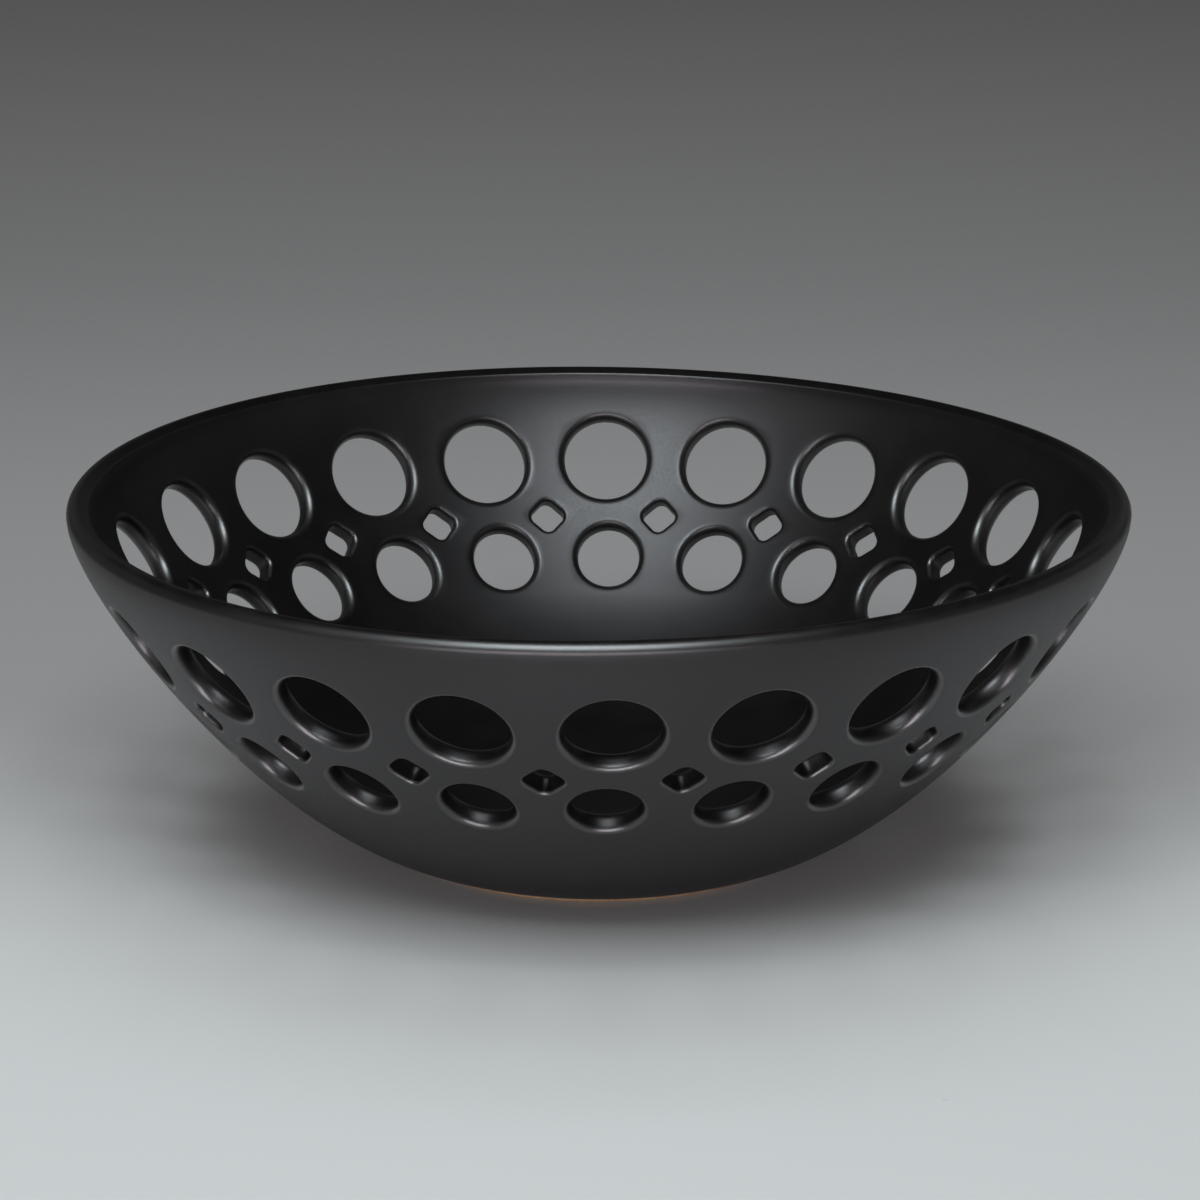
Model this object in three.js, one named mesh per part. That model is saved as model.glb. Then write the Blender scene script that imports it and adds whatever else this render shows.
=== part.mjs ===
// Pierced stoneware bowl: a thrown and glazed bowl whose wall is cut through by three rings of holes,
// standing on a bare clay foot ring. Millimetres, +Z up, origin on the table at the bowl's axis.

import * as THREE from "three";

// Bowl
const RIM_RADIUS = 152.5; // axis to the widest point, just under the lip
const BOWL_HEIGHT = 104; // table to the top of the lip
const WALL = 6.4; // thickness through the pierced band, which is also the lip's diameter
const FOOT_ANGLE = 16.8; // degrees, rise of the outer wall where it leaves the foot
const FOOT_PULL = 43.7; // how far the outer wall keeps the foot's direction
const RIM_PULL = 15; // how far the outer wall runs straight down from the lip
const FOOT_THICKENING = 5; // extra wall left at the foot by the throwing
const THICKENED_LENGTH = 42; // stretch of wall above the foot that the extra thickness fades over
const FLOOR_DISH = 2.1; // depth of the shallow dish in the floor

// Foot
const FOOT_RADIUS = 61.8; // outside of the foot ring, where the glaze stops
const FOOT_WIDTH = 7; // width of the ring that stands on the table
const FOOT_REVEAL = 1.05; // height of the glaze line above the table
const FOOT_RECESS = 3; // height of the hollow inside the ring
const FOOT_BEVEL = 3.2; // width of the bevel where the bowl sits on the ring
const FOOT_ROUND = 0.5; // softening of the ring's lower edges
const SEAT_GAP = 0.3; // clearance between the bowl and its foot ring

// Piercing
const LARGE_BORE = 26;
const LARGE_LAND = 14; // clay between neighbouring large holes
const SMALL_BORE = 19.2;
const DIAMOND_SIDE = 8.3;
const DIAMOND_CORNER = 1.8; // rounding of the diamond's corners
const LIP_LAND = 16.6; // clay between the lip and the large holes, down the outer wall
const ROW_LAND = 11.2; // clay between the large and the small holes
const DIAMOND_SINK = 1.1; // diamonds sit this far below the middle of that land
const EDGE_ROUND = 1.9; // softening of the hole edges, inside and out
const LARGE_ROW_TURN = -0.9; // degrees from straight behind the axis to the row's first hole
const SMALL_ROW_TURN = -1.5;
const DIAMOND_ROW_TURN = -0.65;
const SPACING_DRIFT = 2.4; // degrees that the hand spacing has gained by the front of the bowl

// Fineness of the facets
const SECTOR_STEPS = 3; // round the bowl, for each hole of a row
const LOWER_STEPS = 4; // up the plain wall below the holes
const LIP_STEPS = 6;
const FLOOR_STEPS = 3;
const EDGE_STEPS = 2; // from a wall face to the narrowest part of a hole
const BAND_MARGIN = 3; // plain wall kept between the holes and the first full ring above and below them

const glaze = new THREE.MeshStandardMaterial({ color: 0x29282a, roughness: 0.42, metalness: 0 });
const bareClay = new THREE.MeshStandardMaterial({ color: 0xb48a66, roughness: 0.9, metalness: 0 });

// The outer wall as a curve of (radius, height), from the glaze line at the foot up to the lip.
const lipRadius = WALL / 2;
const footPoint = new THREE.Vector2(FOOT_RADIUS, FOOT_REVEAL);
const lipPoint = new THREE.Vector2(RIM_RADIUS, BOWL_HEIGHT - lipRadius);
const footRise = THREE.MathUtils.degToRad(FOOT_ANGLE);
const footDirection = new THREE.Vector2(Math.cos(footRise), Math.sin(footRise));
const outerWall = new THREE.CubicBezierCurve(
  footPoint,
  footPoint.clone().addScaledVector(footDirection, FOOT_PULL),
  lipPoint.clone().sub(new THREE.Vector2(0, RIM_PULL)),
  lipPoint,
);
const wallLength = outerWall.getLength();

// Point (radius, height) at a distance up the wall, a share of the way through it from the outer face.
function wallPoint(distance, share) {
  const along = distance / wallLength;
  const tangent = outerWall.getTangentAt(along);
  const inward = new THREE.Vector2(-tangent.y, tangent.x);
  const fade = Math.max(0, 1 - distance / THICKENED_LENGTH);
  const thickness = WALL + FOOT_THICKENING * fade * fade;
  return outerWall.getPointAt(along).addScaledVector(inward, share * thickness);
}

// The rings of holes, each with its distance up the wall. A hole is a square standing on a corner, with
// rounded corners, and a corner radius of half the side makes it a circle.
const largeRow = {
  side: LARGE_BORE,
  corner: LARGE_BORE / 2,
  cornerSteps: 4,
  distance: wallLength - LIP_LAND - LARGE_BORE / 2,
  turn: LARGE_ROW_TURN,
  shift: 0,
};
const landMiddle = largeRow.distance - LARGE_BORE / 2 - ROW_LAND / 2;
const smallRow = {
  side: SMALL_BORE,
  corner: SMALL_BORE / 2,
  cornerSteps: 3,
  distance: landMiddle - ROW_LAND / 2 - SMALL_BORE / 2,
  turn: SMALL_ROW_TURN,
  shift: 0,
};
const diamondRow = {
  side: DIAMOND_SIDE,
  corner: DIAMOND_CORNER,
  cornerSteps: 3,
  distance: landMiddle - DIAMOND_SINK,
  turn: DIAMOND_ROW_TURN,
  shift: 0.5,
};
const rowRadius = wallPoint(largeRow.distance, 0).x;
const holesPerRow = Math.round((2 * Math.PI * rowRadius) / (LARGE_BORE + LARGE_LAND));
const bandTop = largeRow.distance + LARGE_BORE / 2 + EDGE_ROUND + BAND_MARGIN;
const bandBottom = smallRow.distance - SMALL_BORE / 2 - EDGE_ROUND - BAND_MARGIN;

// Angle about the axis of one hole of a row, counted from the back of the bowl. The hand spacing drifts as it
// comes round to the front.
function holeAngle(row, index) {
  const even = ((index + row.shift) / holesPerRow) * 2 * Math.PI;
  const drift = SPACING_DRIFT * 0.5 * (1 - Math.cos(even));
  return Math.PI / 2 + even + THREE.MathUtils.degToRad(row.turn + drift);
}

// Outline of a hole, grown all round by an offset, as (angle, distance up the wall) points, counterclockwise
// from outside. The first one is the corner on the right, and every corner has a point on its middle.
function holeOutline(row, index, offset) {
  const inset = (row.side / 2 - row.corner) * Math.SQRT2;
  const reach = row.corner + offset;
  const steps = row.cornerSteps;
  return Array.from({ length: 4 * steps }, (_, i) => {
    const facing = Math.floor((i + (steps - 1) / 2) / steps) * (Math.PI / 2);
    const turn = (i / steps) * (Math.PI / 2);
    const across = inset * Math.cos(facing) + reach * Math.cos(turn);
    const distance = row.distance + inset * Math.sin(facing) + reach * Math.sin(turn);
    const angle = holeAngle(row, index) + across / wallPoint(distance, 0).x;
    return new THREE.Vector2(angle, distance);
  });
}

// Shares of the wall's thickness and growth of a hole's outline there, from the outer face to the inner one:
// a quarter ellipse into the narrowest part, and its mirror image out again.
const edgeStations = Array.from({ length: 2 * EDGE_STEPS + 1 }, (_, i) => {
  const turn = (Math.PI / 2) * (i / EDGE_STEPS);
  return { share: (1 - Math.cos(turn)) / 2, offset: EDGE_ROUND * (1 - Math.sin(turn)) };
});

// A closed surface that is put together from rings of points and the faces between them.
class Skin {
  positions = [];
  faces = [];

  // Adds a point by angle, radius and height, and returns its number.
  addPoint(angle, { x: radius, y: height }) {
    this.positions.push(radius * Math.cos(angle), radius * Math.sin(angle), height);
    return this.positions.length / 3 - 1;
  }

  // Adds a level ring of points at the given angles.
  addRing(angles, point) {
    return angles.map((angle) => this.addPoint(angle, point));
  }

  // Faces between two rings of as many points, or between a ring and a single point.
  bridge(from, to) {
    const count = Math.max(from.length, to.length);
    for (let i = 0; i < count; i++) {
      const next = (i + 1) % count;
      if (from.length > 1) this.faces.push(from[i], from[next], to[next % to.length]);
      if (to.length > 1) this.faces.push(from[i % from.length], to[next], to[i]);
    }
  }

  // Faces that fill a flat outline round its holes. Each is a list of { flat, number }.
  fill(contour, holes, facesOut) {
    const numbers = [contour, ...holes].flat().map(({ number }) => number);
    const flats = (outline) => outline.map(({ flat }) => flat);
    for (const [a, b, c] of THREE.ShapeUtils.triangulateShape(flats(contour), holes.map(flats))) {
      this.faces.push(numbers[a], ...(facesOut ? [numbers[b], numbers[c]] : [numbers[c], numbers[b]]));
    }
  }

  toMesh(material, name) {
    const geometry = new THREE.BufferGeometry();
    geometry.setAttribute("position", new THREE.Float32BufferAttribute(this.positions, 3));
    geometry.setIndex(this.faces);
    geometry.computeVertexNormals();
    const mesh = new THREE.Mesh(geometry, material);
    mesh.name = name;
    return mesh;
  }
}

// A sector is the stretch of wall between the middles of two neighbouring diamonds.
const sectorEdges = Array.from({ length: holesPerRow + 1 }, (_, i) => holeAngle(diamondRow, i - 1));
const ringAngles = sectorEdges.slice(0, -1).flatMap((edge, sector) => {
  const width = sectorEdges[sector + 1] - edge;
  return Array.from({ length: SECTOR_STEPS }, (_, i) => edge + (width * i) / SECTOR_STEPS);
});

// Cuts one row through the wall: the rings of every hole at each station, with the faces between them.
function pierceRow(skin, row) {
  return Array.from({ length: holesPerRow }, (_, index) => {
    const rings = edgeStations.map(({ share, offset }) =>
      holeOutline(row, index, offset).map((flat) => ({
        flat,
        number: skin.addPoint(flat.x, wallPoint(flat.y, share)),
      })),
    );
    const numbers = rings.map((ring) => ring.map(({ number }) => number));
    for (let i = 1; i < numbers.length; i++) skin.bridge(numbers[i - 1], numbers[i]);
    return rings;
  });
}

// One face of the pierced band, sector by sector, between its lower and upper rings.
function fillBand(skin, cuts, station, lower, upper, facesOut) {
  const face = (row, index) => cuts.get(row).at(index % holesPerRow)[station];
  const unrolled = (points, lap) =>
    points.map(({ flat, number }) => {
      return { flat: new THREE.Vector2((flat.x - lap * 2 * Math.PI) * rowRadius, flat.y), number };
    });
  const ringStretch = (ring, sector, distance) =>
    Array.from({ length: SECTOR_STEPS + 1 }, (_, i) => {
      const width = sectorEdges[sector + 1] - sectorEdges[sector];
      const angle = sectorEdges[sector] + (width * i) / SECTOR_STEPS;
      const number = ring[(sector * SECTOR_STEPS + i) % ring.length];
      return { flat: new THREE.Vector2(angle * rowRadius, distance), number };
    });
  for (let sector = 0; sector < holesPerRow; sector++) {
    const before = unrolled(face(diamondRow, sector - 1), sector === 0 ? 1 : 0);
    const after = unrolled(face(diamondRow, sector), 0);
    const quarter = diamondRow.cornerSteps;
    const rightSide = after.slice(quarter, 3 * quarter + 1).reverse();
    const leftSide = [...before.slice(3 * quarter), ...before.slice(0, quarter + 1)].reverse();
    const contour = [
      ...ringStretch(lower, sector, bandBottom),
      ...rightSide,
      ...ringStretch(upper, sector, bandTop).reverse(),
      ...leftSide,
    ];
    const holes = [largeRow, smallRow].map((row) => unrolled(face(row, sector), 0));
    skin.fill(contour, holes, facesOut);
  }
}

// The thrown bowl with its piercing: up the outer wall, over the round lip, down the inner wall and across the
// dished floor.
function piercedBowl() {
  const skin = new Skin();
  const ringAt = (distance, share) => skin.addRing(ringAngles, wallPoint(distance, share));
  const lowerDistances = Array.from({ length: LOWER_STEPS + 1 }, (_, i) => (bandBottom * i) / LOWER_STEPS);
  const lowerOuter = lowerDistances.map((distance) => ringAt(distance, 0));
  const lowerInner = lowerDistances.map((distance) => ringAt(distance, 1)).reverse();
  const lipCentre = wallPoint(wallLength, 0.5);
  const lip = Array.from({ length: LIP_STEPS - 1 }, (_, i) => {
    const turn = (Math.PI * (i + 1)) / LIP_STEPS;
    const fromCentre = new THREE.Vector2(Math.cos(turn), Math.sin(turn)).multiplyScalar(lipRadius);
    return skin.addRing(ringAngles, fromCentre.add(lipCentre));
  });
  const upper = [ringAt(bandTop, 0), ringAt(wallLength, 0), ...lip, ringAt(wallLength, 1), ringAt(bandTop, 1)];

  const floorEdge = wallPoint(0, 1);
  const floor = Array.from({ length: FLOOR_STEPS - 1 }, (_, i) => {
    const reach = 1 - (i + 1) / FLOOR_STEPS;
    const sunk = FLOOR_DISH * (1 - reach * reach);
    return skin.addRing(ringAngles, new THREE.Vector2(floorEdge.x * reach, floorEdge.y - sunk));
  });
  const floorCentre = [skin.addPoint(0, new THREE.Vector2(0, floorEdge.y - FLOOR_DISH))];
  const underside = [
    [skin.addPoint(0, new THREE.Vector2(0, FOOT_RECESS))],
    skin.addRing(ringAngles, new THREE.Vector2(FOOT_RADIUS - FOOT_BEVEL, FOOT_RECESS)),
  ];

  const outside = [...underside, ...lowerOuter];
  const inside = [...lowerInner, ...floor, floorCentre];
  for (const run of [outside, upper, inside]) {
    for (let i = 1; i < run.length; i++) skin.bridge(run[i - 1], run[i]);
  }
  const cuts = new Map([largeRow, smallRow, diamondRow].map((row) => [row, pierceRow(skin, row)]));
  fillBand(skin, cuts, 0, lowerOuter.at(-1), upper[0], true);
  fillBand(skin, cuts, edgeStations.length - 1, lowerInner[0], upper.at(-1), false);
  return skin.toMesh(glaze, "pierced_bowl");
}

// The foot ring: flat below with softened edges, bevelled on top to take the bowl.
function footRing() {
  const outer = FOOT_RADIUS;
  const inner = FOOT_RADIUS - FOOT_WIDTH;
  const top = FOOT_RECESS - SEAT_GAP;
  const section = [
    new THREE.Vector2(inner + FOOT_ROUND, 0),
    new THREE.Vector2(outer - FOOT_ROUND, 0),
    new THREE.Vector2(outer, FOOT_ROUND),
    new THREE.Vector2(outer, FOOT_REVEAL - SEAT_GAP),
    new THREE.Vector2(outer - FOOT_BEVEL, top),
    new THREE.Vector2(inner, top),
    new THREE.Vector2(inner, FOOT_ROUND),
  ];
  const ring = new THREE.LatheGeometry([...section, section[0]], ringAngles.length);
  const mesh = new THREE.Mesh(ring.rotateX(Math.PI / 2), bareClay);
  mesh.name = "foot_ring";
  return mesh;
}

const bowl = new THREE.Group();
bowl.add(piercedBowl(), footRing());

export default bowl;
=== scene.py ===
"""Looks of a thrown stoneware bowl with a pierced wall, a satin black glaze and a bare clay foot.

The wall is a surface of revolution, and its band of holes is made of small grids: each hole has a
grid that runs from the border of its share of the band, over the soft outer edge, through the wall
and back out to the same border on the inner face. The grids share their border points, so that the
bowl is one closed skin.
"""
import logging
import math
from dataclasses import dataclass, field
from enum import Enum
from typing import Any

import bmesh
import bpy
import numpy as np
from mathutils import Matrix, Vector


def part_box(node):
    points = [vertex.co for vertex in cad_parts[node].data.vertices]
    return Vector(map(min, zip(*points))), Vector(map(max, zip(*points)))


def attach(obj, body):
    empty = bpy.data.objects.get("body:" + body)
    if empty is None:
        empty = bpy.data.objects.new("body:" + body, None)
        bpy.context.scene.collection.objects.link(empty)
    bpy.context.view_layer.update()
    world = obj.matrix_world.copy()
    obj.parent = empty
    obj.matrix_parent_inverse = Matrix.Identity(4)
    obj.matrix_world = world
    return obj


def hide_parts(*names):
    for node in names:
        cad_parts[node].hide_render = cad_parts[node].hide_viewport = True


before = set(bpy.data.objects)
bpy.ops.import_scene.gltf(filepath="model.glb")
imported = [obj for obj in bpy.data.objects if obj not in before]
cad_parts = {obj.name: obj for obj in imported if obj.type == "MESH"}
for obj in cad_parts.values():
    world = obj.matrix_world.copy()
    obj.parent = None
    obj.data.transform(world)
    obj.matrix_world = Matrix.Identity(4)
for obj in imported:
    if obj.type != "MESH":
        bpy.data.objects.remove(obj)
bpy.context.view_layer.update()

LOG = logging.getLogger("pierced_bowl")
MM = 0.001
QUARTER_TURN = math.pi / 2.0
FULL_TURN = 2.0 * math.pi
NOISE_MEAN = 0.5
NOISE_ROUGHNESS = 0.55
BLACK = (0.0, 0.0, 0.0)
BODY = "root"

Array = np.ndarray
Colour = tuple[float, float, float]
Place = tuple[float, float, float]
Span = tuple[float, float]


class Slot(Enum):
    """Material slots of the record."""

    GLAZE = "black_glaze"
    CLAY = "bare_clay"


class Detail(Enum):
    """How many finer layers a noise has on its first one."""

    SOFT = 2.0
    FINE = 3.0
    CLOUDY = 4.0


class Wire:
    """One output of a shader node, which can stand in sums and products."""

    def __init__(self, shader: "Shader", socket: bpy.types.NodeSocket) -> None:
        """Keeps the socket and the shader that it belongs to."""
        self.shader = shader
        self.socket = socket

    def _math(self, operation: str, first: Any, second: Any) -> "Wire":
        """Adds one Math node on two values."""
        return self.shader.node("ShaderNodeMath", {"operation": operation}, {0: first, 1: second})

    def __add__(self, other: Any) -> "Wire":
        """This value plus another."""
        return self._math("ADD", self, other)

    def __radd__(self, other: Any) -> "Wire":
        """Another value plus this one."""
        return self._math("ADD", other, self)

    def __sub__(self, other: Any) -> "Wire":
        """This value less another."""
        return self._math("SUBTRACT", self, other)

    def __rsub__(self, other: Any) -> "Wire":
        """Another value less this one."""
        return self._math("SUBTRACT", other, self)

    def __mul__(self, other: Any) -> "Wire":
        """This value times another."""
        return self._math("MULTIPLY", self, other)

    def __rmul__(self, other: Any) -> "Wire":
        """Another value times this one."""
        return self._math("MULTIPLY", other, self)


class Shader:
    """The node tree of a material or a world, with one method that makes any node."""

    def __init__(self, owner: bpy.types.Material | bpy.types.World) -> None:
        """Empties the owner's tree.

        Args:
            owner: The material or world.
        """
        self.owner = owner
        owner.use_nodes = True
        self.tree = owner.node_tree
        self.tree.nodes.clear()

    @classmethod
    def material(cls, name: str) -> "Shader":
        """Starts a new material of that name."""
        return cls(bpy.data.materials.new(name))

    def add(self, kind: str, settings: dict[str, Any], sockets: dict[Any, Any]) -> bpy.types.Node:
        """Makes any node.

        Args:
            kind: The node's type.
            settings: Properties of the node, set first.
            sockets: Values or wires for its inputs, by identifier, name or number.

        Returns:
            The node.
        """
        made = self.tree.nodes.new(kind)
        for name, value in settings.items():
            setattr(made, name, value)
        for key, value in sockets.items():
            socket = self._find(made.inputs, key)
            if isinstance(value, Wire):
                self.tree.links.new(value.socket, socket)
            else:
                socket.default_value = value
        return made

    def node(self, kind: str, settings: dict[str, Any], sockets: dict[Any, Any], output: Any = 0) -> Wire:
        """Makes a node and gives the wire from one of its outputs.

        Args:
            kind: The node's type.
            settings: Properties of the node, set first.
            sockets: Values or wires for its inputs, by identifier, name or number.
            output: The output that is wanted, by identifier, name or number.

        Returns:
            The wire from that output.
        """
        return self.output(self.add(kind, settings, sockets), output)

    def output(self, made: bpy.types.Node, key: Any) -> Wire:
        """The wire from one of a node's outputs, by identifier, name or number."""
        return Wire(self, self._find(made.outputs, key))

    @staticmethod
    def _find(sockets: Any, key: Any) -> bpy.types.NodeSocket:
        """Finds a socket.

        Args:
            sockets: A node's inputs or outputs.
            key: The socket's number, identifier or name.

        Returns:
            The socket.
        """
        if isinstance(key, int):
            return sockets[key]
        return next(s for s in sockets if key in (s.identifier, s.name))

    def place(self) -> Wire:
        """Object coordinates, in metres."""
        return self.node("ShaderNodeTexCoord", {}, {}, "Object")

    def part(self, vector: Wire, axis: str) -> Wire:
        """One of a vector's parts, X, Y or Z."""
        return self.node("ShaderNodeSeparateXYZ", {}, {"Vector": vector}, axis)

    def stretched(self, vector: Wire, scale: Place) -> Wire:
        """A vector with each part times its own number."""
        return self.node("ShaderNodeVectorMath", {"operation": "MULTIPLY"}, {0: vector, 1: scale})

    def seen(self) -> Wire:
        """Tells what is seen from what only lights.

        Returns:
            1 for what the camera sees, also mirrored or through glass, and 0 for the rest.
        """
        rays = self.add("ShaderNodeLightPath", {}, {})
        camera, mirrored, through = (
            self.output(rays, f"Is {kind} Ray") for kind in ("Camera", "Glossy", "Transmission")
        )
        return camera + mirrored + through

    def noise(self, vector: Wire, scale: float, detail: Detail) -> Wire:
        """Soft noise from 0 to 1 with about that many waves a metre."""
        values = {"Vector": vector, "Scale": scale, "Detail": detail.value, "Roughness": NOISE_ROUGHNESS}
        return self.node("ShaderNodeTexNoise", {}, values, "Fac")

    def spots(self, vector: Wire, scale: float, size: float) -> Wire:
        """Round spots, one in each cell of 1 / scale metres.

        Args:
            vector: The place.
            scale: How many cells a metre holds.
            size: A spot's radius, in cells.

        Returns:
            1 in the middle of a spot, and 0 past its radius.
        """
        values = {"Vector": vector, "Scale": scale, "Randomness": 1.0}
        distance = self.node("ShaderNodeTexVoronoi", {}, values, "Distance")
        return self.ramp(distance, (size, 0.0))

    def ramp(self, value: Wire, span: Span) -> Wire:
        """0 at the span's start and 1 at its end, smooth between them and level outside."""
        values = {"Value": value, "From Min": span[0], "From Max": span[1]}
        return self.node("ShaderNodeMapRange", {"interpolation_type": "SMOOTHSTEP"}, values)

    def mix(self, factor: Wire, first: Any, second: Any) -> Wire:
        """A colour between two, the second where the factor is 1."""
        values = {"Factor_Float": factor, "A_Color": opaque(first), "B_Color": opaque(second)}
        return self.node("ShaderNodeMix", {"data_type": "RGBA"}, values, "Result_Color")

    def bump(self, height: Wire) -> Wire:
        """A normal for a height in metres."""
        return self.node("ShaderNodeBump", {}, {"Height": height, "Strength": 1.0, "Distance": 1.0})

    def finished(self, sockets: dict[str, Any]) -> bpy.types.Material:
        """Ends the tree in a Principled BSDF.

        Args:
            sockets: Values or wires for its inputs, by name.

        Returns:
            The finished material.
        """
        skin = self.node("ShaderNodeBsdfPrincipled", {}, sockets)
        self.add("ShaderNodeOutputMaterial", {}, {"Surface": skin})
        return self.owner


def opaque(colour: Any) -> Any:
    """A colour with an alpha of 1, or a wire as it is."""
    return colour if isinstance(colour, Wire) else (*colour, 1.0)


@dataclass(frozen=True)
class SatinGlaze:
    """Satin black glaze, which draws back from the edges: it is browner there, and glassy."""

    body: Colour = (0.0020, 0.0014, 0.0014)
    mottle: Colour = (0.0030, 0.0022, 0.0022)
    thin: Colour = (0.008, 0.006, 0.005)
    gloss_tint: Colour = (1.0, 0.955, 0.985)
    index: float = 1.55
    roughness: float = 0.39
    roughness_spread: float = 0.05
    speckle: float = 0.16
    edge_gloss: float = 0.06
    edge_glass: float = 1.0
    glass_roughness: float = 0.33
    grain_height: float = 0.012 * MM
    ring_height: float = 0.025 * MM
    sway_height: float = 0.04 * MM
    ring_waves: Place = (9.0, 9.0, 210.0)
    sway_waves: float = 38.0
    cloud_waves: float = 90.0
    grain_waves: float = 1400.0
    pit_cells: float = 240.0
    pit_size: float = 0.05
    pit_depth: float = 0.025 * MM
    mottled: Span = (0.35, 0.7)
    thinned: Span = (0.45, 0.75)
    thinned_by_grain: float = 0.2
    thinned_share: float = 0.6

    def material(self) -> bpy.types.Material:
        """Builds the glaze.

        Returns:
            A material that mottles the black, thins and glosses it along edges by the piece's own
            attribute, and bumps it with throwing rings, a slow sway, a fine grain and pits.
        """
        shader = Shader.material(Slot.GLAZE.value)
        place = shader.place()
        rings = shader.noise(shader.stretched(place, self.ring_waves), 1.0, Detail.SOFT)
        sway = shader.noise(place, self.sway_waves, Detail.SOFT)
        cloud = shader.noise(place, self.cloud_waves, Detail.CLOUDY)
        grain = shader.noise(place, self.grain_waves, Detail.FINE)
        pits = shader.spots(place, self.pit_cells, self.pit_size)
        edge = shader.node("ShaderNodeAttribute", {"attribute_name": Skin.EDGE}, {}, "Fac")
        thinning = shader.ramp(cloud + self.thinned_by_grain * grain, self.thinned)
        colour = shader.mix(shader.ramp(cloud, self.mottled), self.body, self.mottle)
        colour = shader.mix(edge * thinning * self.thinned_share, colour, self.thin)
        roughness = self.roughness + self.roughness_spread * (cloud - NOISE_MEAN)
        roughness = roughness + self.speckle * (grain - NOISE_MEAN) - self.edge_gloss * edge
        height = rings * self.ring_height + sway * self.sway_height + grain * self.grain_height
        height = height - pits * self.pit_depth
        return shader.finished({
            "Base Color": colour,
            "Roughness": roughness,
            "Normal": shader.bump(height),
            "IOR": self.index,
            "Specular Tint": opaque(self.gloss_tint),
            "Coat Weight": edge * self.edge_glass,
            "Coat Roughness": self.glass_roughness,
            "Coat IOR": self.index,
        })


@dataclass(frozen=True)
class BareClay:
    """Unglazed buff stoneware, with sand in it and dark iron specks. Its tones are painted darker than
    the clay's own, the body at a little over half, as painted shade for the foot under the bowl.
    """

    # Painted shade: the clay's tones are darkened, the body to a little over half its own brightness, for
    # the foot in the shade under the bowl.
    body: Colour = (0.25, 0.145, 0.08)
    pale: Colour = (0.33, 0.21, 0.125)
    iron: Colour = (0.08, 0.04, 0.024)
    roughness: float = 0.86
    roughness_spread: float = 0.12
    grit_height: float = 0.06 * MM
    cloud_waves: float = 160.0
    grit_waves: float = 2200.0
    speck_cells: float = 520.0
    speck_size: float = 0.28
    paled: Span = (0.45, 0.9)
    paled_by_grit: float = 0.3
    iron_share: float = 0.7

    def material(self) -> bpy.types.Material:
        """Builds the clay.

        Returns:
            A rough material with pale sand, iron specks and a gritty bump.
        """
        shader = Shader.material(Slot.CLAY.value)
        place = shader.place()
        cloud = shader.noise(place, self.cloud_waves, Detail.CLOUDY)
        grit = shader.noise(place, self.grit_waves, Detail.FINE)
        specks = shader.spots(place, self.speck_cells, self.speck_size)
        paling = shader.ramp(cloud + self.paled_by_grit * grit, self.paled)
        # Clay tones painted dark as shade under the bowl, then paled by sand and specked with iron.
        colour = shader.mix(paling, self.body, self.pale)
        colour = shader.mix(specks * self.iron_share, colour, self.iron)
        height = grit * self.grit_height - specks * self.grit_height
        return shader.finished({
            "Base Color": colour,
            "Roughness": self.roughness + self.roughness_spread * (grit - NOISE_MEAN),
            "Normal": shader.bump(height),
        })


@dataclass(frozen=True)
class PaperSweep:
    """Grey paper, palest in front and dark far behind, with a painted glow over it.

    Its tones change over spans of distance behind the bowl's axis, in metres, negative in front.
    These tones are painted light: the step down from beside the bowl backwards paints the lamps'
    falloff and part of the bowl's shade, and the near black far behind paints the unlit room's shade.
    """

    # Painted light: the tones step down from front to middle beside the bowl and on to back, painting the
    # lamps' falloff and part of the bowl's shade.
    front: Colour = (0.499, 0.49, 0.49)
    middle: Colour = (0.263, 0.25, 0.25)
    back: Colour = (0.216, 0.205, 0.205)
    # Painted shade: near black far behind, standing in for the unlit room.
    dark: Colour = (0.03, 0.03, 0.03)
    # Painted glow, seen only by the camera and reflections: fill light painted on the paper to lighten
    # its shadows.
    painted_glow: Colour = (0.02, 0.019, 0.019)
    front_to_middle: Span = (-0.12, 0.13)
    middle_to_back: Span = (0.3, 0.85)
    back_to_dark: Span = (1.8, 2.6)
    roughness: float = 0.3
    roughness_spread: float = 0.1
    fibre_waves: float = 260.0
    fibre_height: float = 0.02 * MM

    def material(self) -> bpy.types.Material:
        """Builds the paper.

        Returns:
            A material with a faint fibre and tones painted by distance, whose painted glow only the
            camera and reflections see.
        """
        shader = Shader.material("paper_sweep")
        place = shader.place()
        fibre = shader.noise(place, self.fibre_waves, Detail.CLOUDY)
        away = shader.part(place, "Y")
        # Tones by distance behind the axis: painted falloff and shade, darker from beside the bowl to the
        # far back.
        colour = shader.mix(shader.ramp(away, self.front_to_middle), self.front, self.middle)
        colour = shader.mix(shader.ramp(away, self.middle_to_back), colour, self.back)
        colour = shader.mix(shader.ramp(away, self.back_to_dark), colour, self.dark)
        return shader.finished({
            "Base Color": colour,
            "Roughness": self.roughness + self.roughness_spread * (fibre - NOISE_MEAN),
            "Normal": shader.bump(fibre * self.fibre_height),
            # Painted glow: fill light on the paper that only the camera and reflections see, so it
            # lightens the paper's shadows without lighting the bowl.
            "Emission Color": shader.mix(shader.seen(), BLACK, self.painted_glow),
            "Emission Strength": 1.0,
        })


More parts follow.
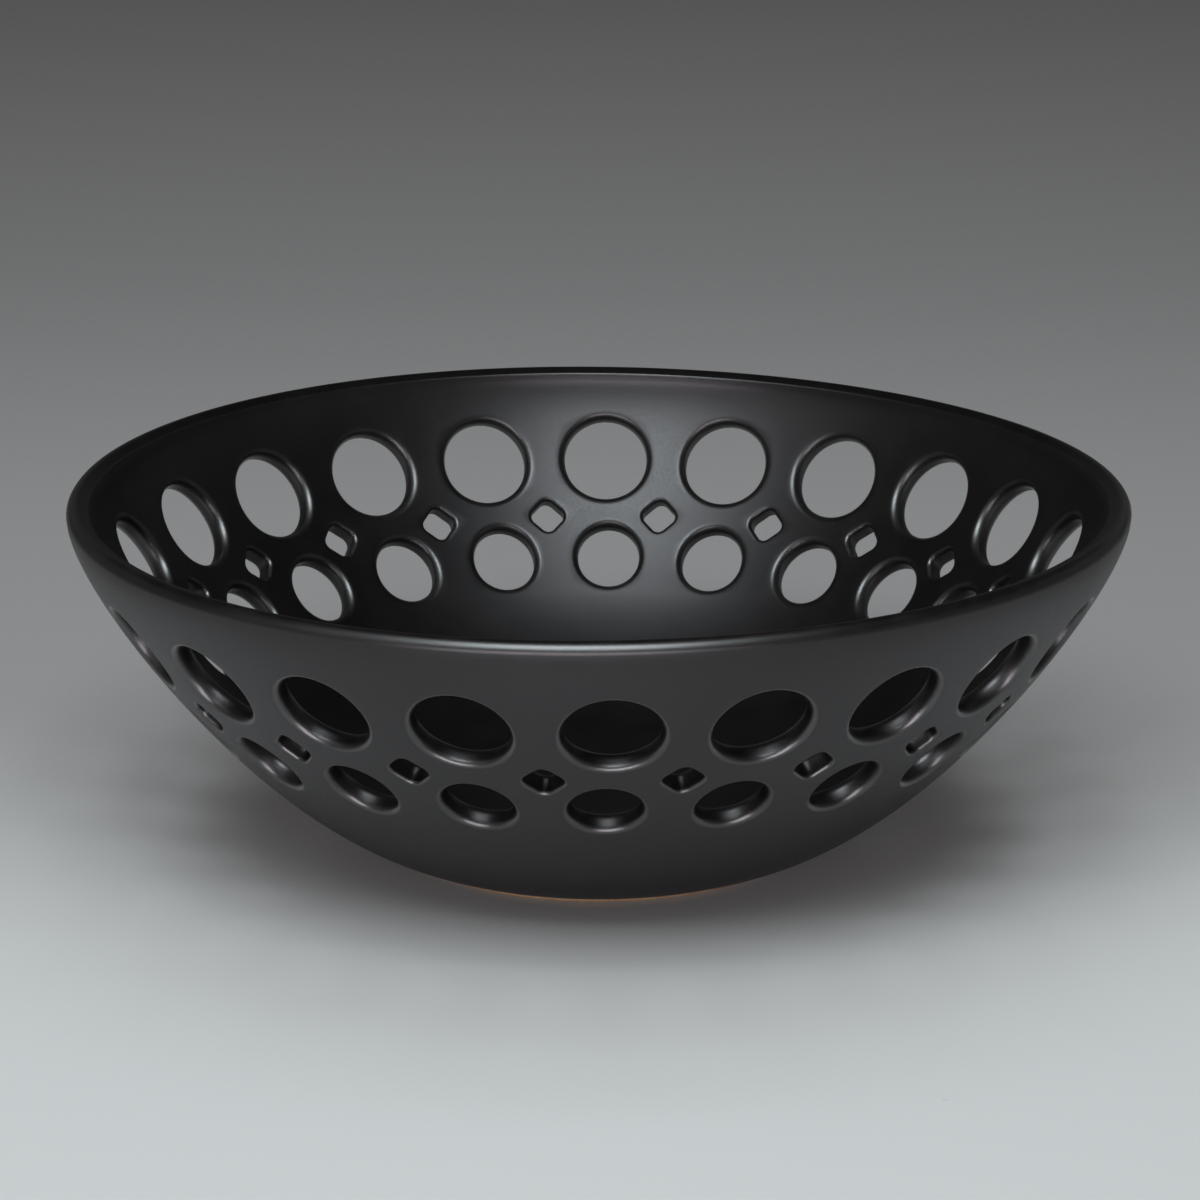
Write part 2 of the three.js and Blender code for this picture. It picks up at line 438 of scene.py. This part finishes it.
@dataclass
class Skin:
    """Grids of points that are sewn into one mesh."""

    EDGE = "glaze_edge"

    weld: float = 0.004 * MM
    points: list[Array] = field(default_factory=list)
    edges: list[Array] = field(default_factory=list)
    quads: list[Array] = field(default_factory=list)
    total: int = 0

    def add(self, points: Array, edge: Array | float = 0.0) -> None:
        """Adds grids that close on themselves round their second axis.

        Each quad joins a point, the next one round, that one's next along and the point's own next
        along, so a grid faces the viewer for whom round is to the right and along is upwards.

        Args:
            points: Points as grid, round, along, XYZ.
            edge: How much of an edge each point is on, from 0 to 1, the same on all or along a grid.
        """
        edge = np.broadcast_to(edge, points.shape[:-1])
        index = np.arange(edge.size).reshape(edge.shape) + self.total
        after = np.roll(index, -1, axis=1)
        corners = (index[..., :-1], after[..., :-1], after[..., 1:], index[..., 1:])
        self.quads.append(np.stack(corners, axis=-1).reshape(-1, 4))
        self.points.append(points.reshape(-1, 3))
        self.edges.append(edge.reshape(-1))
        self.total += edge.size

    def sewn(self, name: str) -> bpy.types.Object:
        """Makes the object, with the grids' shared points merged.

        Args:
            name: The object's name.

        Returns:
            The object, smooth shaded, at the origin, with its edges, if any, as a point attribute.
        """
        quads = np.concatenate(self.quads)
        edges = np.concatenate(self.edges)
        mesh = bpy.data.meshes.new(name)
        mesh.vertices.add(self.total)
        mesh.vertices.foreach_set("co", np.concatenate(self.points).ravel())
        mesh.loops.add(quads.size)
        mesh.loops.foreach_set("vertex_index", quads.ravel().astype(np.int32))
        mesh.polygons.add(len(quads))
        mesh.polygons.foreach_set("loop_start", np.arange(0, quads.size, 4, dtype=np.int32))
        mesh.update(calc_edges=True)
        if edges.any():
            layer = mesh.attributes.new(self.EDGE, "FLOAT", "POINT")
            layer.data.foreach_set("value", edges)
        sewing = bmesh.new()
        sewing.from_mesh(mesh)
        bmesh.ops.remove_doubles(sewing, verts=sewing.verts, dist=self.weld)
        sewing.to_mesh(mesh)
        sewing.free()
        mesh.shade_smooth()
        made = bpy.data.objects.new(name, mesh)
        bpy.context.collection.objects.link(made)
        return made


def turned(angle: Array, radius: Array, height: Array) -> Array:
    """Points at an angle round +Z, a radius and a height: (r cos a, r sin a, h)."""
    return np.stack((radius * np.cos(angle), radius * np.sin(angle), height + 0.0 * angle), axis=-1)


def even_angles(count: int) -> Array:
    """Angles of that many even steps round a full turn."""
    return np.arange(count) / count * FULL_TURN


def revolved(angles: Array, profile: Array) -> Array:
    """Carries a profile of (radius, height) points round the axis, one copy at each angle.

    Args:
        angles: Angles of the copies.
        profile: The profile's points, as point, (radius, height).

    Returns:
        One grid of points as grid, round, along, XYZ.
    """
    return turned(angles[None, :, None], profile[None, None, :, 0], profile[None, None, :, 1])


@dataclass
class ThrownWall:
    """Outer face of the bowl's wall, a cubic curve from foot to lip, and the wall's thickness."""

    foot_radius: float
    rim_radius: float
    height: float
    foot_reveal: float = 1.05 * MM
    thickness: float = 6.4 * MM
    foot_angle: float = math.radians(16.8)
    foot_pull: float = 43.7 * MM
    rim_pull: float = 15.0 * MM
    foot_thickening: float = 6.0 * MM
    thickened_length: float = 60.0 * MM
    thickening_power: float = 1.5
    samples: int = 6001

    def __post_init__(self) -> None:
        """Works out the curve's points, lengths and directions, for the lookups."""
        start = np.array((self.foot_radius, self.foot_reveal))
        end = np.array((self.rim_radius, self.height - self.thickness / 2.0))
        pull = self.foot_pull * np.array((math.cos(self.foot_angle), math.sin(self.foot_angle)))
        controls = (start, start + pull, end - (0.0, self.rim_pull), end)
        t = np.linspace(0.0, 1.0, self.samples)[:, None]
        weights = ((1.0 - t) ** 3, 3.0 * t * (1.0 - t) ** 2, 3.0 * t * t * (1.0 - t), t ** 3)
        self.curve = sum(weight * control for weight, control in zip(weights, controls))
        step = np.gradient(self.curve, axis=0)
        self.direction = step / np.linalg.norm(step, axis=1, keepdims=True)
        chords = np.linalg.norm(np.diff(self.curve, axis=0), axis=1)
        self.lengths = np.concatenate(((0.0,), np.cumsum(chords)))
        self.length = float(self.lengths[-1])

    def radius(self, distance: Array) -> Array:
        """Radius of the outer face at a distance along it from the foot."""
        return np.interp(distance, self.lengths, self.curve[:, 0])

    def inside(self, distance: Array, depth: Array) -> tuple[Array, Array]:
        """Radius and height at a depth below the outer face, along its inward normal.

        Args:
            distance: Distance along the outer face from the foot.
            depth: How far in from the outer face.

        Returns:
            The radius and the height.
        """
        height = np.interp(distance, self.lengths, self.curve[:, 1])
        out = np.interp(distance, self.lengths, self.direction[:, 0])
        up = np.interp(distance, self.lengths, self.direction[:, 1])
        return self.radius(distance) - up * depth, height + out * depth

    def at(self, distance: Array, share: Array) -> tuple[Array, Array]:
        """Radius and height at a share of the way through the wall.

        The wall's thickness grows towards the foot, with a power of the nearness to it.

        Args:
            distance: Distance along the outer face from the foot.
            share: 0 on the outer face and 1 on the inner face.

        Returns:
            The radius and the height.
        """
        near_foot = np.maximum(0.0, 1.0 - distance / self.thickened_length)
        extra = self.foot_thickening * near_foot ** self.thickening_power
        return self.inside(distance, share * (self.thickness + extra))


@dataclass(frozen=True)
class HoleRow:
    """One row of equal holes: rounded squares on a corner, or circles if the corner is half the side."""

    count: int
    side: float
    corner: float
    distance: float
    turn: float
    shift: float = 0.0
    softness: float = 1.0
    stretch: float = 1.0
    drift: float = math.radians(2.4)
    rise: float = 0.6 * MM
    rise_angle: float = math.radians(-45.0)

    def angle(self, index: Array) -> Array:
        """Angle of each hole: even steps from the back, turned, and bunched a little by the drift."""
        even = (index + self.shift) / self.count * FULL_TURN
        return QUARTER_TURN + even + self.turn + self.drift * 0.5 * (1.0 - np.cos(even))

    def middle(self, index: Array) -> Array:
        """Distance of each hole's middle along the wall: the row rises a little towards one side."""
        return self.distance + self.rise * np.cos(self.angle(index) - self.rise_angle)

    def outline(self, quarter: Array, offset: Array) -> tuple[Array, Array]:
        """Points round the hole.

        A quarter of the outline runs from the middle of one corner, round half of it, along the flat
        side and round half of the next corner, at an even pace. Every point is moved outwards along
        its normal by the offset, and the whole is stretched upwards.

        Args:
            quarter: Place round the hole, 0 at the right, 1 at the top and so on to 4.
            offset: How far outside the hole's own outline.

        Returns:
            How far each point is to the right of the hole's middle, and how far above it.
        """
        half_corner = self.corner * QUARTER_TURN / 2.0
        flat = self.side - 2.0 * self.corner
        whole = np.floor(quarter)
        run = (quarter - whole) * (2.0 * half_corner + flat)
        turn = np.minimum(run, half_corner) + np.maximum(run - half_corner - flat, 0.0)
        along = np.clip(run - half_corner, 0.0, flat)
        start = whole * QUARTER_TURN
        normal = start + turn / self.corner
        side = start + 1.5 * QUARTER_TURN
        inset = flat / math.sqrt(2.0)
        reach = self.corner + offset
        across = inset * np.cos(start) + along * np.cos(side) + reach * np.cos(normal)
        above = inset * np.sin(start) + along * np.sin(side) + reach * np.sin(normal)
        return across, above * self.stretch


@dataclass
class PiercedBowl:
    """The glazed bowl: lip, pierced band, lower wall, floor and underside as one closed skin.

    The drops are measured down the outer face from the lip's widest point.
    """

    foot_radius: float
    rim_radius: float
    height: float
    hole_count: int = 22
    large_bore: float = 26.35 * MM
    large_drop: float = 29.15 * MM
    large_turn: float = math.radians(-0.9)
    small_bore: float = 19.4 * MM
    small_drop: float = 63.0 * MM
    small_turn: float = math.radians(-1.5)
    small_stretch: float = 1.05
    diamond_side: float = 8.6 * MM
    diamond_corner: float = 2.3 * MM
    diamond_drop: float = 48.8 * MM
    diamond_turn: float = math.radians(-0.65)
    diamond_shift: float = 0.5
    outer_edge: Span = (1.5 * MM, 2.2 * MM)
    inner_edge: Span = (2.9 * MM, 3.2 * MM)
    small_softness: float = 0.9
    diamond_softness: float = 0.55
    draft: float = 0.45 * MM
    band_top_drop: float = 11.7 * MM
    above_diamond_drop: float = 40.0 * MM
    between_rounds_drop: float = 47.3 * MM
    below_diamond_drop: float = 57.2 * MM
    band_bottom_drop: float = 77.9 * MM
    lip_round: float = 2.6 * MM
    lip_broad_round: float = 4.2 * MM
    lip_broad_tilt: float = math.radians(37.0)
    lip_broad_spread: float = math.radians(12.0)
    lip_inner_round: float = 0.8 * MM
    lip_inner_wear: float = 0.3
    lip_bevel: float = math.radians(25.0)
    floor_dish: float = 2.1 * MM
    underside_height: float = 3.0 * MM
    underside_bevel: float = 3.2 * MM
    glaze_bead: float = 0.4 * MM
    warp: float = -0.78 * MM
    sector_steps: int = 12
    tall_steps: int = 10
    short_steps: int = 8
    slant_steps: int = 10
    land_steps: int = 4
    edge_points: int = 8
    collar_points: int = 6
    shoulder_points: int = 24
    lip_inner_points: int = 11
    underside_points: int = 8
    bead_points: int = 7
    wall_points: int = 18
    floor_points: int = 13

    def __post_init__(self) -> None:
        """Works out the wall and the three rows of holes."""
        self.wall = ThrownWall(self.foot_radius, self.rim_radius, self.height)
        self.index = np.arange(self.hole_count)[:, None].astype(float)
        self.large = HoleRow(
            count=self.hole_count,
            side=self.large_bore,
            corner=self.large_bore / 2.0,
            distance=self.wall.length - self.large_drop,
            turn=self.large_turn,
        )
        self.small = HoleRow(
            count=self.hole_count,
            side=self.small_bore,
            corner=self.small_bore / 2.0,
            distance=self.wall.length - self.small_drop,
            turn=self.small_turn,
            softness=self.small_softness,
            stretch=self.small_stretch,
        )
        self.diamond = HoleRow(
            count=self.hole_count,
            side=self.diamond_side,
            corner=self.diamond_corner,
            distance=self.wall.length - self.diamond_drop,
            turn=self.diamond_turn,
            shift=self.diamond_shift,
            softness=self.diamond_softness,
        )

    def _corner(self, angle: Array, drop: float) -> Array:
        """A corner of every share of the band, as hole, 1, (angle, distance along the wall)."""
        return np.stack((angle, np.full_like(angle, self.wall.length - drop)), axis=-1)

    @staticmethod
    def _border(corners: list[Array], counts: list[int]) -> Array:
        """Points round each share of the band: straight from corner to corner in even steps.

        Args:
            corners: The corners, anticlockwise seen from outside.
            counts: Steps on the side that starts at each corner.

        Returns:
            Points as hole, round, (angle, distance).
        """
        following = corners[1:] + corners[:1]
        sides = []
        for start, end, count in zip(corners, following, counts):
            t = (np.arange(count) / count)[None, :, None]
            sides.append(start + (end - start) * t)
        return np.concatenate(sides, axis=1)

    def _facing(self, row: HoleRow, border: Array) -> Array:
        """Finds the place on each round hole's outline that faces each border point.

        It is the angle from the hole's middle to the point, on the wall laid flat.

        Args:
            row: The row of holes.
            border: Border points, as hole, round, (angle, distance).

        Returns:
            The places in quarters, 0 at the right, 1 at the top and so on to 4.
        """
        across = (border[..., 0] - row.angle(self.index)) * self.wall.radius(row.distance)
        above = border[..., 1] - row.middle(self.index)
        return np.mod(np.arctan2(above, across) / QUARTER_TURN, 4.0)

    def _pierced(self, skin: Skin, row: HoleRow, border: Array, quarter: Array) -> None:
        """Adds one row's grids to the skin.

        Along a grid the points go straight from the border to the soft edge on the outer face, round
        a quarter ellipse into the hole, round another out of it, and back to the border inside. The
        hole narrows inwards by the draft.

        Args:
            skin: The skin to add to.
            row: The row of holes.
            border: Border points, as hole, round, (angle, distance).
            quarter: Place on the hole's outline that faces each border point.
        """
        t = np.linspace(0.0, QUARTER_TURN, self.edge_points)
        outer_width, outer_depth = (row.softness * size for size in self.outer_edge)
        inner_width, inner_depth = (row.softness * size for size in self.inner_edge)
        outer_share = outer_depth / self.wall.thickness * (1.0 - np.cos(t))
        inner_share = 1.0 - inner_depth / self.wall.thickness * (1.0 - np.cos(t[::-1]))
        share = np.concatenate((outer_share, inner_share))
        offset = np.concatenate((outer_width * (1.0 - np.sin(t)), inner_width * (1.0 - np.sin(t[::-1]))))
        across, above = row.outline(quarter[..., None], offset + self.draft * (1.0 - share))
        distance = row.middle(self.index)[..., None] + above
        angle = row.angle(self.index)[..., None] + across / self.wall.radius(distance)
        edge = np.stack((angle, distance), axis=-1)
        land = np.arange(self.land_steps) / self.land_steps
        outer_land = border[:, :, None] + (edge[:, :, :1] - border[:, :, None]) * land[:, None]
        inner_land = border[:, :, None] + (edge[:, :, -1:] - border[:, :, None]) * land[::-1, None]
        flat = np.concatenate((outer_land, edge, inner_land), axis=2)
        shares = np.concatenate((0.0 * land, share, 0.0 * land + 1.0))
        radius, height = self.wall.at(flat[..., 1], shares)
        bend = np.sin(2.0 * t)
        worn = np.concatenate((0.0 * land, bend, bend, 0.0 * land))
        skin.add(turned(flat[..., 0], radius, height), worn)

    def _band(self, skin: Skin) -> Array:
        """Adds the pierced band to the skin.

        Between two large holes, two small ones and the diamonds beside them the band is shared out
        along straight lines: five corners round a round hole and four round a diamond.

        Args:
            skin: The skin to add to.

        Returns:
            The angles of the points along the band's top and bottom.
        """
        left = self.diamond.angle(self.index - 1.0)
        right = self.diamond.angle(self.index)
        middle = (self.large.angle(self.index) + self.small.angle(self.index)) / 2.0
        beyond = (self.large.angle(self.index + 1.0) + self.small.angle(self.index + 1.0)) / 2.0
        before, here, after = (self.small.angle(self.index + step) for step in (-1.0, 0.0, 1.0))
        under_left = self._corner((2.0 * left + before + here) / 4.0, self.below_diamond_drop)
        under_right = self._corner((2.0 * right + here + after) / 4.0, self.below_diamond_drop)
        waist = self._corner(middle, self.between_rounds_drop)
        next_waist = self._corner(beyond, self.between_rounds_drop)
        top_left, top_right = (self._corner(a, self.band_top_drop) for a in (left, right))
        over_left, over_right = (self._corner(a, self.above_diamond_drop) for a in (left, right))
        low_left, low_right = (self._corner(a, self.band_bottom_drop) for a in (left, right))
        steps, tall, short, slant = self.sector_steps, self.tall_steps, self.short_steps, self.slant_steps
        border = self._border(
            [waist, over_right, top_right, top_left, over_left], [slant, tall, steps, tall, slant]
        )
        self._pierced(skin, self.large, border, self._facing(self.large, border))
        border = self._border(
            [low_left, low_right, under_right, waist, under_left], [steps, short, slant, slant, short]
        )
        self._pierced(skin, self.small, border, self._facing(self.small, border))
        border = self._border([next_waist, over_right, waist, under_right], [slant] * 4)
        quarter = np.tile(np.arange(4 * slant) / slant, (self.hole_count, 1))
        self._pierced(skin, self.diamond, border, quarter)
        return (left + (right - left) * (np.arange(steps) / steps)).ravel()

    def _shoulder(self) -> Array:
        """Outer shoulder of the lip, from the wall to the bevel.

        The path turns from upright to the bevel's slope. Its radius of curvature swells by a bell
        curve where it faces outwards and up, so that it is broad there and tight on both sides.

        Returns:
            The path as point, (radius, height), with its top at the bowl's height.
        """
        t = np.linspace(0.0, QUARTER_TURN + self.lip_bevel, self.shoulder_points)
        swell = np.exp(-((t - self.lip_broad_tilt) / self.lip_broad_spread) ** 2)
        bend = self.lip_round + (self.lip_broad_round - self.lip_round) * swell
        pace = np.stack((-np.sin(t), np.cos(t)), axis=-1) * bend[:, None]
        steps = (pace[1:] + pace[:-1]) / 2.0 * np.diff(t)[:, None]
        path = np.concatenate((np.zeros((1, 2)), np.cumsum(steps, axis=0)))
        return path + (self.rim_radius, self.height - path[:, 1].max())

    def _lip(self) -> tuple[Array, Array]:
        """Profile of the plain collar above the holes and the lip.

        Up the outer face from the band, round the lip's full outer shoulder, down its bevelled top,
        round the tight inner shoulder and down the inner face. The bevel touches both shoulders. The
        glaze draws back from each by half a sine wave, squared on the outer one, most in the middle.

        Returns:
            The profile as point, (radius, height), and how much of an edge each point is on.
        """
        start = self.wall.length - self.band_top_drop
        climb = np.linspace(start, self.wall.length, self.collar_points)
        outer = np.stack(self.wall.at(climb, 0.0), axis=-1)
        inner = np.stack(self.wall.at(climb[::-1], 1.0), axis=-1)
        over = self._shoulder()
        tight = self.lip_inner_round
        up = np.array((-math.sin(self.lip_bevel), math.cos(self.lip_bevel)))
        middle_radius = inner[0, 0] + tight
        middle_height = (over[-1] @ up - tight - middle_radius * up[0]) / up[1]
        t = math.pi - (QUARTER_TURN - self.lip_bevel) * np.linspace(1.0, 0.0, self.lip_inner_points)
        under = (middle_radius, middle_height) + tight * np.stack((np.cos(t), np.sin(t)), axis=-1)
        plain = np.zeros(len(climb))
        bend = np.sin(math.pi * np.linspace(0.0, 1.0, len(over))) ** 2
        tight_bend = self.lip_inner_wear * np.sin(math.pi * np.linspace(0.0, 1.0, len(under)))
        worn = np.concatenate((plain, bend, tight_bend, plain))
        return np.concatenate((outer, over, under, inner)), worn

    def _under(self) -> Array:
        """Profile from the middle of the underside, round the glaze's bead and up to the band.

        Returns:
            The profile as point, (radius, height).
        """
        bevel = math.atan2(self.underside_height - self.wall.foot_reveal, self.underside_bevel)
        flat = np.linspace(0.0, self.foot_radius - self.underside_bevel, self.underside_points)
        underside = np.stack((flat, np.full_like(flat, self.underside_height)), axis=-1)
        middle = np.array(self.wall.inside(self.glaze_bead, self.glaze_bead))
        t = np.linspace(-QUARTER_TURN - bevel, self.wall.foot_angle - QUARTER_TURN, self.bead_points)
        bead = middle + self.glaze_bead * np.stack((np.cos(t), np.sin(t)), axis=-1)
        top = self.wall.length - self.band_bottom_drop
        climb = np.linspace(self.glaze_bead, top, self.wall_points)[1:]
        return np.concatenate((underside, bead, np.stack(self.wall.at(climb, 0.0), axis=-1)))

    def _well(self) -> Array:
        """Profile down the inner face from the band and across the dished floor to the axis.

        The floor falls from the foot of the wall by the dish times one less the square of the radius.

        Returns:
            The profile as point, (radius, height).
        """
        fall = np.linspace(self.wall.length - self.band_bottom_drop, 0.0, self.wall_points)
        side = np.stack(self.wall.at(fall, 1.0), axis=-1)
        rim_radius, rim_height = side[-1]
        share = np.linspace(1.0, 0.0, self.floor_points)[1:]
        depth = self.floor_dish * (1.0 - share ** 2)
        return np.concatenate((side, np.stack((rim_radius * share, rim_height - depth), axis=-1)))

    def _settled(self, points: Array) -> Array:
        """Lets points settle as in the kiln: two sides of the rim up and two down, by height squared.

        Args:
            points: Points as point, XYZ.

        Returns:
            The settled points.
        """
        turn = np.arctan2(points[:, 1], points[:, 0])
        lift = self.warp * np.sin(2.0 * turn) * (points[:, 2] / self.height) ** 2
        return points + np.stack((0.0 * lift, 0.0 * lift, lift), axis=-1)

    def build(self) -> bpy.types.Object:
        """Makes the bowl.

        Returns:
            The bowl, at the origin.
        """
        skin = Skin()
        angles = self._band(skin)
        lip, worn = self._lip()
        skin.add(revolved(angles, lip), worn)
        for profile in (self._under(), self._well()):
            skin.add(revolved(angles, profile))
        skin.points = [self._settled(points) for points in skin.points]
        return skin.sewn("glazed_bowl")

    def dress(self, made: bpy.types.Object, glaze: SatinGlaze) -> None:
        """Gives the bowl its glaze and its place in the frame.

        Args:
            made: The bowl.
            glaze: Its finish.
        """
        made.data.materials.append(glaze.material())
        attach(made, BODY)
        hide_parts("pierced_bowl")


@dataclass
class FootRing:
    """The bare clay ring under the bowl."""

    radius: float
    reveal: float = 1.05 * MM
    width: float = 7.0 * MM
    top: float = 2.95 * MM
    bevel: float = 3.2 * MM
    corner: float = 0.5 * MM
    seat_gap: float = 0.06 * MM
    steps: int = 220
    corner_points: int = 6

    def _section(self) -> Array:
        """Section of the ring, anticlockwise, with its corners rounded by quarter circles below.

        Returns:
            The section as point, (radius, height), ending where it starts.
        """
        inner = self.radius - self.width
        t = np.linspace(0.0, QUARTER_TURN, self.corner_points)
        round_out = np.stack((np.sin(t), 1.0 - np.cos(t)), axis=-1) * self.corner
        outer_low = np.array((self.radius - self.corner, 0.0)) + round_out
        outer_top = np.array(((self.radius, self.reveal - self.seat_gap),))
        inner_top = np.array(((self.radius - self.bevel, self.top), (inner, self.top)))
        inner_low = np.array((inner + self.corner, 0.0)) + (round_out * (-1.0, 1.0))[::-1]
        return np.concatenate((outer_low, outer_top, inner_top, inner_low, outer_low[:1]))

    def build(self) -> bpy.types.Object:
        """Makes the ring.

        Returns:
            The ring, at the origin.
        """
        skin = Skin()
        skin.add(revolved(even_angles(self.steps), self._section()))
        return skin.sewn("clay_foot_ring")

    def dress(self, made: bpy.types.Object, clay: BareClay) -> None:
        """Gives the ring its clay and its place in the frame.

        Args:
            made: The ring.
            clay: Its finish.
        """
        made.data.materials.append(clay.material())
        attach(made, BODY)
        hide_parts("foot_ring")


@dataclass(frozen=True)
class SoftBox:
    """One flat lamp, aimed at the middle of the bowl. Reflections can leave it out."""

    name: str
    place: Place
    width: float
    depth: float
    power: float
    colour: Colour
    mirrored: bool = True
    aim: Place = (0.0, 0.0, 0.06)

    def hang(self) -> None:
        """Hangs the lamp."""
        lamp = bpy.data.lights.new(self.name, "AREA")
        lamp.shape = "RECTANGLE"
        lamp.size = self.width
        lamp.size_y = self.depth
        lamp.energy = self.power
        lamp.color = self.colour
        made = bpy.data.objects.new(self.name, lamp)
        made.location = self.place
        made.visible_glossy = self.mirrored
        made.rotation_euler = (Vector(self.aim) - Vector(self.place)).to_track_quat("-Z", "Y").to_euler()
        bpy.context.collection.objects.link(made)


@dataclass
class Studio:
    """Paper sweep, lamps, room light and camera at the photograph's view."""

    floor_radius: float = 2.6
    bend_radius: float = 0.7
    wall_height: float = 1.9
    floor_points: int = 14
    bend_points: int = 17
    turn_steps: int = 96
    key_colour: Colour = (0.88, 0.98, 1.0)
    fill_colour: Colour = (0.98, 0.95, 0.98)
    room_light: Colour = (0.17, 0.16, 0.158)
    room_seen: Colour = (0.004, 0.004, 0.004)
    camera_place: Place = (0.34 * MM, -1195.2 * MM, 426.2 * MM)
    camera_pitch: float = math.radians(16.58)
    lens: float = 128.9
    sensor: float = 36.0

    def sweep(self) -> bpy.types.Object:
        """Makes the paper: a round floor that bends up into a low wall all round.

        Returns:
            The sweep.
        """
        t = np.linspace(0.0, QUARTER_TURN, self.bend_points)
        flat = np.linspace(0.0, self.floor_radius, self.floor_points)[:-1]
        floor = np.stack((flat, 0.0 * flat), axis=-1)
        bend = np.stack((np.sin(t), 1.0 - np.cos(t)), axis=-1) * self.bend_radius
        edge = np.array(((self.floor_radius + self.bend_radius, self.wall_height),))
        profile = np.concatenate((floor, bend + (self.floor_radius, 0.0), edge))[::-1]
        skin = Skin()
        skin.add(revolved(even_angles(self.turn_steps), profile))
        made = skin.sewn("paper_sweep")
        made.data.materials.append(PaperSweep().material())
        return made

    def lamps(self) -> tuple[SoftBox, ...]:
        """Sets out the lamps: a key in a wider, weaker sheet, two fills and a ceiling.

        Returns:
            The lamps. Reflections leave out the ceiling, so it puts no highlight on the glaze.
        """
        key, fill = self.key_colour, self.fill_colour
        return (
            SoftBox("key_softbox", (-0.16, -1.08, 1.62), width=1.1, depth=0.8, power=22.0, colour=key),
            SoftBox("upper_sheet", (-0.22, -1.06, 1.78), width=1.5, depth=1.4, power=9.5, colour=key),
            SoftBox("front_fill", (-0.25, -1.9, 0.24), width=1.7, depth=0.44, power=19.0, colour=fill),
            SoftBox("left_fill", (-1.0, -0.75, 0.95), width=0.9, depth=0.9, power=0.9, colour=fill),
            SoftBox(
                "ceiling", (0.0, 0.25, 1.6), width=1.4, depth=1.2, power=14.0, colour=key, mirrored=False
            ),
        )

    def light(self) -> None:
        """Hangs the lamps and sets the room's own light."""
        for lamp in self.lamps():
            lamp.hang()
        world = bpy.data.worlds.new("room")
        shader = Shader(world)
        colour = shader.mix(shader.seen(), self.room_light, self.room_seen)
        air = shader.node("ShaderNodeBackground", {}, {"Color": colour, "Strength": 1.0})
        shader.add("ShaderNodeOutputWorld", {}, {"Surface": air})
        bpy.context.scene.world = world
        bpy.context.scene.view_settings.view_transform = "Standard"

    def shoot(self) -> None:
        """Sets the camera."""
        data = bpy.data.cameras.new("photo_camera")
        data.lens = self.lens
        data.sensor_width = self.sensor
        made = bpy.data.objects.new("photo_camera", data)
        made.location = self.camera_place
        made.rotation_euler = (QUARTER_TURN - self.camera_pitch, 0.0, 0.0)
        bpy.context.collection.objects.link(made)
        bpy.context.scene.camera = made


def report(made: bpy.types.Object) -> None:
    """Logs a piece's name and size."""
    faces = len(made.data.polygons)
    LOG.info("%s: %d faces, %s mm", made.name, faces, [round(side / MM, 1) for side in made.dimensions])


def main() -> None:
    """Builds the bowl, its foot and the studio round them."""
    logging.basicConfig(level=logging.INFO, format="%(name)s: %(message)s")
    low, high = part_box("pierced_bowl")
    foot_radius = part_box("foot_ring")[1][0]
    bowl = PiercedBowl(foot_radius, (high[0] - low[0]) / 2.0, high[2])
    glazed = bowl.build()
    bowl.dress(glazed, SatinGlaze())
    report(glazed)
    ring = FootRing(foot_radius)
    clay = ring.build()
    ring.dress(clay, BareClay())
    report(clay)
    studio = Studio()
    report(studio.sweep())
    studio.light()
    studio.shoot()


if __name__ == "__main__":
    main()
